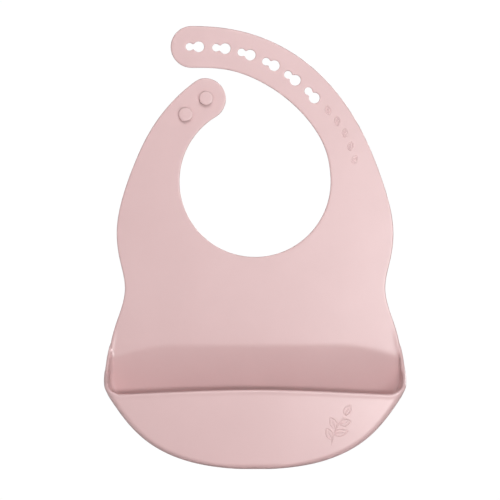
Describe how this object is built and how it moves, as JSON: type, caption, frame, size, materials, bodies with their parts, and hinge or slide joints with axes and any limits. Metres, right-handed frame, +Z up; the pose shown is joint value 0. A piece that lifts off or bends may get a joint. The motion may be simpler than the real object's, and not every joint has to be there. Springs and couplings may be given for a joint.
{
  "type": "silicone bib",
  "caption": "Soft baby bib: flat moulded sheet with an open neck ring, a button strap that fastens into a keyhole strap, and a scooped catch pocket with a rolled lip.",
  "frame": {"origin": "centre of the round neck opening, halfway through the sheet", "axes": "+Z up the bib towards the strap tips, +X towards the shoulder that carries the long keyhole strap, -Y out of the front, the side the studs and the pocket stand on"},
  "size_m": [0.2096, 0.0446, 0.3072],
  "materials": {
    "silicone": "matt soft-touch silicone, dusty pink"
  },
  "bodies": {
    "chest": {"chest_panel": "silicone"},
    "lower_apron": {"apron_panel": "silicone", "pocket_slope": "silicone", "pocket_back": "silicone", "pocket_base": "silicone", "pocket_side_left": "silicone", "pocket_side_right": "silicone", "rim_left": "silicone", "rim_right": "silicone"},
    "pocket_front": {"pocket_front": "silicone", "pocket_lip": "silicone"},
    "button_strap": {"button_strap": "silicone", "stud_inner": "silicone", "stud_outer": "silicone"},
    "hole_strap_lower": {"hole_strap_lower": "silicone"},
    "hole_strap_middle": {"hole_strap_middle": "silicone"},
    "hole_strap_tip": {"hole_strap_tip": "silicone"}
  },
  "joints": [
    {"name": "waist_fold", "type": "hinge", "parent": "chest", "child": "lower_apron", "pos_m": [0, 0, -0.0751], "axis": [1, 0, 0], "range_deg": [-75, 60], "stiffness_Nm_per_rad": 0.02},
    {"name": "pocket_flatten", "type": "hinge", "parent": "lower_apron", "child": "pocket_front", "pos_m": [0, -0.012, -0.183], "axis": [-1, 0, 0], "range_deg": [0, 25], "stiffness_Nm_per_rad": 0.05},
    {"name": "button_strap_bend", "type": "hinge", "parent": "chest", "child": "button_strap", "pos_m": [-0.069, 0, 0.008], "axis": [-1, 0, 0], "range_deg": [-20, 70], "stiffness_Nm_per_rad": 0.08},
    {"name": "hole_strap_bend", "type": "hinge", "parent": "chest", "child": "hole_strap_lower", "pos_m": [0.07, 0, 0.008], "axis": [-1, 0, 0], "range_deg": [-20, 60], "stiffness_Nm_per_rad": 0.12},
    {"name": "hole_strap_curl", "type": "hinge", "parent": "hole_strap_lower", "child": "hole_strap_middle", "pos_m": [0.048, 0, 0.0497], "axis": [-0.6947, 0, -0.7193], "range_deg": [-15, 50], "stiffness_Nm_per_rad": 0.06},
    {"name": "hole_tip_curl", "type": "hinge", "parent": "hole_strap_middle", "child": "hole_strap_tip", "pos_m": [0.002, 0, 0.086], "axis": [-0.3746, 0, -0.9272], "range_deg": [-15, 50], "stiffness_Nm_per_rad": 0.06}
  ]
}
